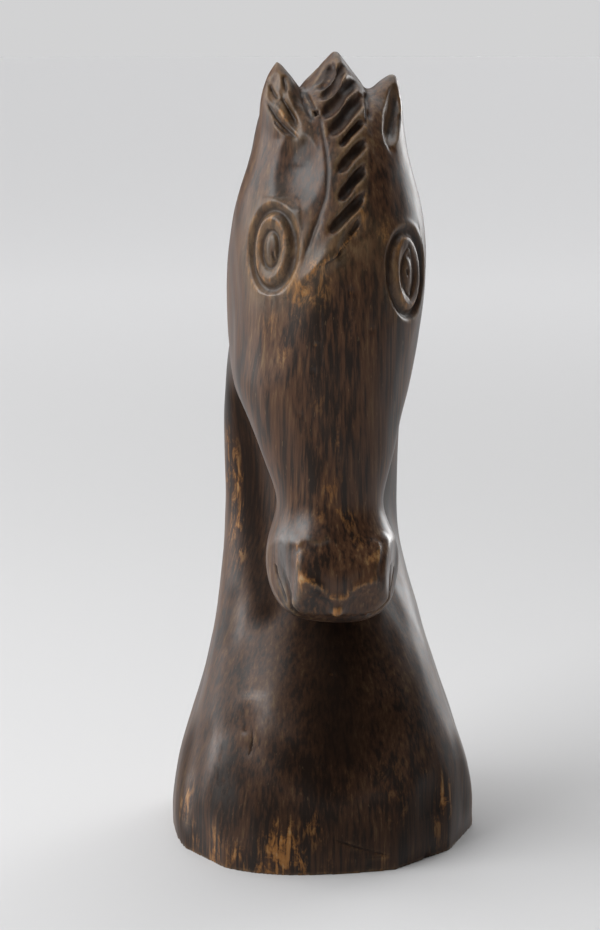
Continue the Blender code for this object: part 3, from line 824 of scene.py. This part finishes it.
# a short way to add shader nodes and join them
class Nodes:
    def __init__(self, material):
        material.use_nodes = True
        self.tree = material.node_tree
        self.shader = self.tree.nodes["Principled BSDF"]

    def add(self, kind, **values):
        made = self.tree.nodes.new(kind)
        for name, value in values.items():
            setattr(made, name, value)
        return made

    def link(self, source, target):
        self.tree.links.new(source, target)

    def feed(self, made, socket, value):
        if isinstance(value, bpy.types.NodeSocket):
            self.link(value, made.inputs[socket])
        else:
            made.inputs[socket].default_value = value

    def math(self, operation, a, b=0.0, clamp=False):
        made = self.add("ShaderNodeMath", operation=operation, use_clamp=clamp)
        self.feed(made, 0, a)
        self.feed(made, 1, b)
        return made.outputs[0]

    def mapped(self, value, low, high, toLow=0.0, toHigh=1.0):
        made = self.add("ShaderNodeMapRange", interpolation_type="SMOOTHSTEP")
        sockets = ("Value", "From Min", "From Max", "To Min", "To Max")
        for socket, given in zip(sockets, (value, low, high, toLow, toHigh)):
            self.feed(made, socket, given)
        return made.outputs["Result"]

    def weighted(self, a, b, shares):
        return self.math("ADD", self.math("MULTIPLY", a, shares[0]), self.math("MULTIPLY", b, shares[1]))

    def mixed(self, share, a, b):
        made = self.add("ShaderNodeMix", data_type="RGBA")
        self.feed(made, 0, share)
        self.feed(made, 6, a)
        self.feed(made, 7, b)
        return made.outputs[2]

    def attribute(self, name):
        return self.add("ShaderNodeAttribute", attribute_name=name).outputs["Fac"]

    # noise on Object coordinates, drawn out along the axes by the size
    def noise(self, scale, size=(1, 1, 1), detailLevel=3.0, roughness=0.5, distortion=0.0):
        place = self.add("ShaderNodeTexCoord").outputs["Object"]
        mapping = self.add("ShaderNodeMapping")
        mapping.inputs["Scale"].default_value = size
        self.link(place, mapping.inputs["Vector"])
        made = self.add("ShaderNodeTexNoise")
        self.link(mapping.outputs[0], made.inputs["Vector"])
        made.inputs["Scale"].default_value = scale
        made.inputs["Detail"].default_value = detailLevel
        made.inputs["Roughness"].default_value = roughness
        made.inputs["Distortion"].default_value = distortion
        return made.outputs["Fac"]


def woodMaterial():
    material = bpy.data.materials.new("darkStainedWood")
    n = Nodes(material)
    streaks = n.noise(*woodValues["streaks"])
    bands = n.noise(*woodValues["bands"])
    clouds = n.noise(*woodValues["clouds"])
    worn, edge = n.attribute("worn"), n.attribute("edgeWearAndSheen")
    hollow, shadeAndSoot = n.attribute("hollow"), n.attribute("paintedShadeAndSoot")

    grain = n.weighted(streaks, bands, woodValues["grainShares"])
    tone = n.weighted(grain, clouds, woodValues["toneShares"])
    stain = n.mixed(n.mapped(tone, *woodValues["brownTones"]), woodValues["dark"], woodValues["brown"])
    stain = n.mixed(n.mapped(tone, *woodValues["oliveTones"]), stain, woodValues["olive"])
    flecks = n.mapped(n.noise(*woodValues["flecks"]), *woodValues["fleckTones"])
    stain = n.mixed(flecks, stain, woodValues["edge"])

    blotches = n.noise(*woodValues["blotches"])
    rub = n.math("ADD", worn, n.math("MULTIPLY", edge, woodValues["edgeRub"]))
    patchy = n.weighted(blotches, streaks, woodValues["patchShares"])
    rub = n.math("MULTIPLY", rub, n.mapped(patchy, *woodValues["rubTones"]))
    warm = n.mixed(n.mapped(patchy, *woodValues["paleTones"]), woodValues["rubbed"], woodValues["pale"])
    # the pale edge tan: worn edges, and painted sheen where the faded bands lie
    edgeShare = n.math("MULTIPLY", edge, n.mapped(blotches, *woodValues["edgeTones"]))
    # painted shade: near-black where the shade-and-soot mask is
    stain = n.mixed(n.math("MULTIPLY", shadeAndSoot, woodValues["shadeAndSootMost"]), stain, woodValues["shadeAndSoot"])
    colour = n.mixed(edgeShare, stain, woodValues["edge"])
    bare = n.mapped(rub, *woodValues["rubbedThrough"])
    colour = n.mixed(n.math("MULTIPLY", bare, woodValues["rubbedMost"]), colour, warm)
    dirt = n.mapped(hollow, *woodValues["hollowDark"])
    colour = n.mixed(n.math("MULTIPLY", dirt, woodValues["hollowMost"]), colour, woodValues["dark"])
    n.link(colour, n.shader.inputs["Base Color"])

    polish = n.math("MULTIPLY", n.attribute("polished"), n.mapped(blotches, *woodValues["polishTones"]))
    leastSpecular, leastCoat = woodValues["shadeAndSootSheen"]
    moreSpecular, moreCoat = woodValues["polishSheen"]
    # the painted shade also loses its sheen
    specular = n.mapped(shadeAndSoot, 0.1, 0.9, woodValues["specular"], leastSpecular)
    coat = n.mapped(shadeAndSoot, 0.1, 0.9, woodValues["coat"], leastCoat)
    specular = n.math("ADD", specular, n.math("MULTIPLY", polish, moreSpecular))
    n.link(specular, n.shader.inputs["Specular IOR Level"])
    coat = n.math("ADD", coat, n.math("MULTIPLY", polish, moreCoat), clamp=True)
    n.link(coat, n.shader.inputs["Coat Weight"])

    polished, fibrous, matt = woodValues["roughness"]
    rough = n.mapped(n.math("ADD", grain, n.math("MULTIPLY", hollow, 0.5)), 0.35, 0.9, polished, fibrous)
    n.link(n.mapped(shadeAndSoot, 0, 1, rough, matt), n.shader.inputs["Roughness"])
    n.shader.inputs["Coat Roughness"].default_value = woodValues["coatRoughness"]

    fibres = n.add("ShaderNodeBump")
    fibres.inputs["Strength"].default_value = woodValues["fibreStrength"]
    fibres.inputs["Distance"].default_value = woodValues["fibreHeight"]
    n.link(grain, fibres.inputs["Height"])
    n.link(fibres.outputs[0], n.shader.inputs["Normal"])
    return material


carving.data.materials.clear()
carving.data.materials.append(woodMaterial())
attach(carving, "root")
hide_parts(node)
print("wood finished")

# Floor and light

stageValues = {
    "floorSide": 60.0,
    # the floor is painted darker near the piece and lighter far off, standing in for how the light falls
    # across it
    "nearFloorPaintedShade": (0.60, 0.60, 0.605, 1),
    "farFloorPaintedLight": (0.80, 0.80, 0.81, 1),
    "paintedFloorFade": (0.4, 1.7),  # metres from the piece: painted shade near the piece fading to painted light far off
    "surroundings": (0.80, 0.80, 0.82, 1),
    "surroundingsStrength": 0.06,
    "background": (0.645, 0.645, 0.65, 1),
    "suns": [  # name, azimuth, elevation, how wide it is, strength
        ("sky", 175, 62, 75, 2.0),
        ("leftSky", -120, 13, 40, 1.15),
        ("rightSky", 130, 11, 30, 1.5),
    ],
    "softboxes": [  # name, azimuth, elevation, distance, width, height, brightness
        ("window", -74, 38, 1.3, 1.08, 0.76, 6.2),
    ],
}


def makeFloor():
    bm = bmesh.new()
    bmesh.ops.create_grid(bm, x_segments=1, y_segments=1, size=stageValues["floorSide"] / 2)
    data = bpy.data.meshes.new("floor")
    bm.to_mesh(data)
    bm.free()
    floor = bpy.data.objects.new("floor", data)
    bpy.context.scene.collection.objects.link(floor)
    material = bpy.data.materials.new("paleFloor")
    n = Nodes(material)
    # painted light: the floor's colour brightens with distance from the piece
    place = n.add("ShaderNodeTexCoord").outputs["Object"]
    away = n.add("ShaderNodeVectorMath", operation="LENGTH")
    n.link(place, away.inputs[0])
    fade = n.mapped(away.outputs["Value"], *stageValues["paintedFloorFade"])
    paintedFloorLight = n.mixed(fade, stageValues["nearFloorPaintedShade"], stageValues["farFloorPaintedLight"])
    n.link(paintedFloorLight, n.shader.inputs["Base Color"])
    n.shader.inputs["Roughness"].default_value = 0.9
    n.shader.inputs["Specular IOR Level"].default_value = 0.1
    data.materials.append(material)


def makeLights():
    for name, azimuth, elevation, angle, strength in stageValues["suns"]:
        data = bpy.data.lights.new(name, "SUN")
        data.angle = math.radians(angle)
        data.energy = strength
        light = bpy.data.objects.new(name, data)
        light.rotation_mode = "QUATERNION"
        light.rotation_quaternion = directionFrom(azimuth, elevation).to_track_quat("Z", "Y")
        bpy.context.scene.collection.objects.link(light)
    for name, azimuth, elevation, distance, wide, high, brightness in stageValues["softboxes"]:
        data = bpy.data.lights.new(name, "AREA")
        data.shape = "RECTANGLE"
        data.size = wide
        data.size_y = high
        data.energy = brightness * math.pi * wide * high
        light = bpy.data.objects.new(name, data)
        back = directionFrom(azimuth, elevation)
        light.location = Vector((0, 0, 0.13)) + back * distance
        light.rotation_mode = "QUATERNION"
        light.rotation_quaternion = back.to_track_quat("Z", "Y")
        light.visible_camera = False
        bpy.context.scene.collection.objects.link(light)
    world = bpy.data.worlds.new("surroundings")
    world.use_nodes = True
    tree = world.node_tree
    soft = tree.nodes["Background"]
    soft.inputs["Color"].default_value = stageValues["surroundings"]
    soft.inputs["Strength"].default_value = stageValues["surroundingsStrength"]
    pale = tree.nodes.new("ShaderNodeBackground")
    pale.inputs["Color"].default_value = stageValues["background"]
    mix = tree.nodes.new("ShaderNodeMixShader")
    path = tree.nodes.new("ShaderNodeLightPath")
    tree.links.new(path.outputs["Is Camera Ray"], mix.inputs[0])
    tree.links.new(soft.outputs[0], mix.inputs[1])
    tree.links.new(pale.outputs[0], mix.inputs[2])
    tree.links.new(mix.outputs[0], tree.nodes["World Output"].inputs["Surface"])
    bpy.context.scene.world = world
    bpy.context.scene.view_settings.view_transform = "Standard"


makeFloor()
makeLights()
print("stage set")
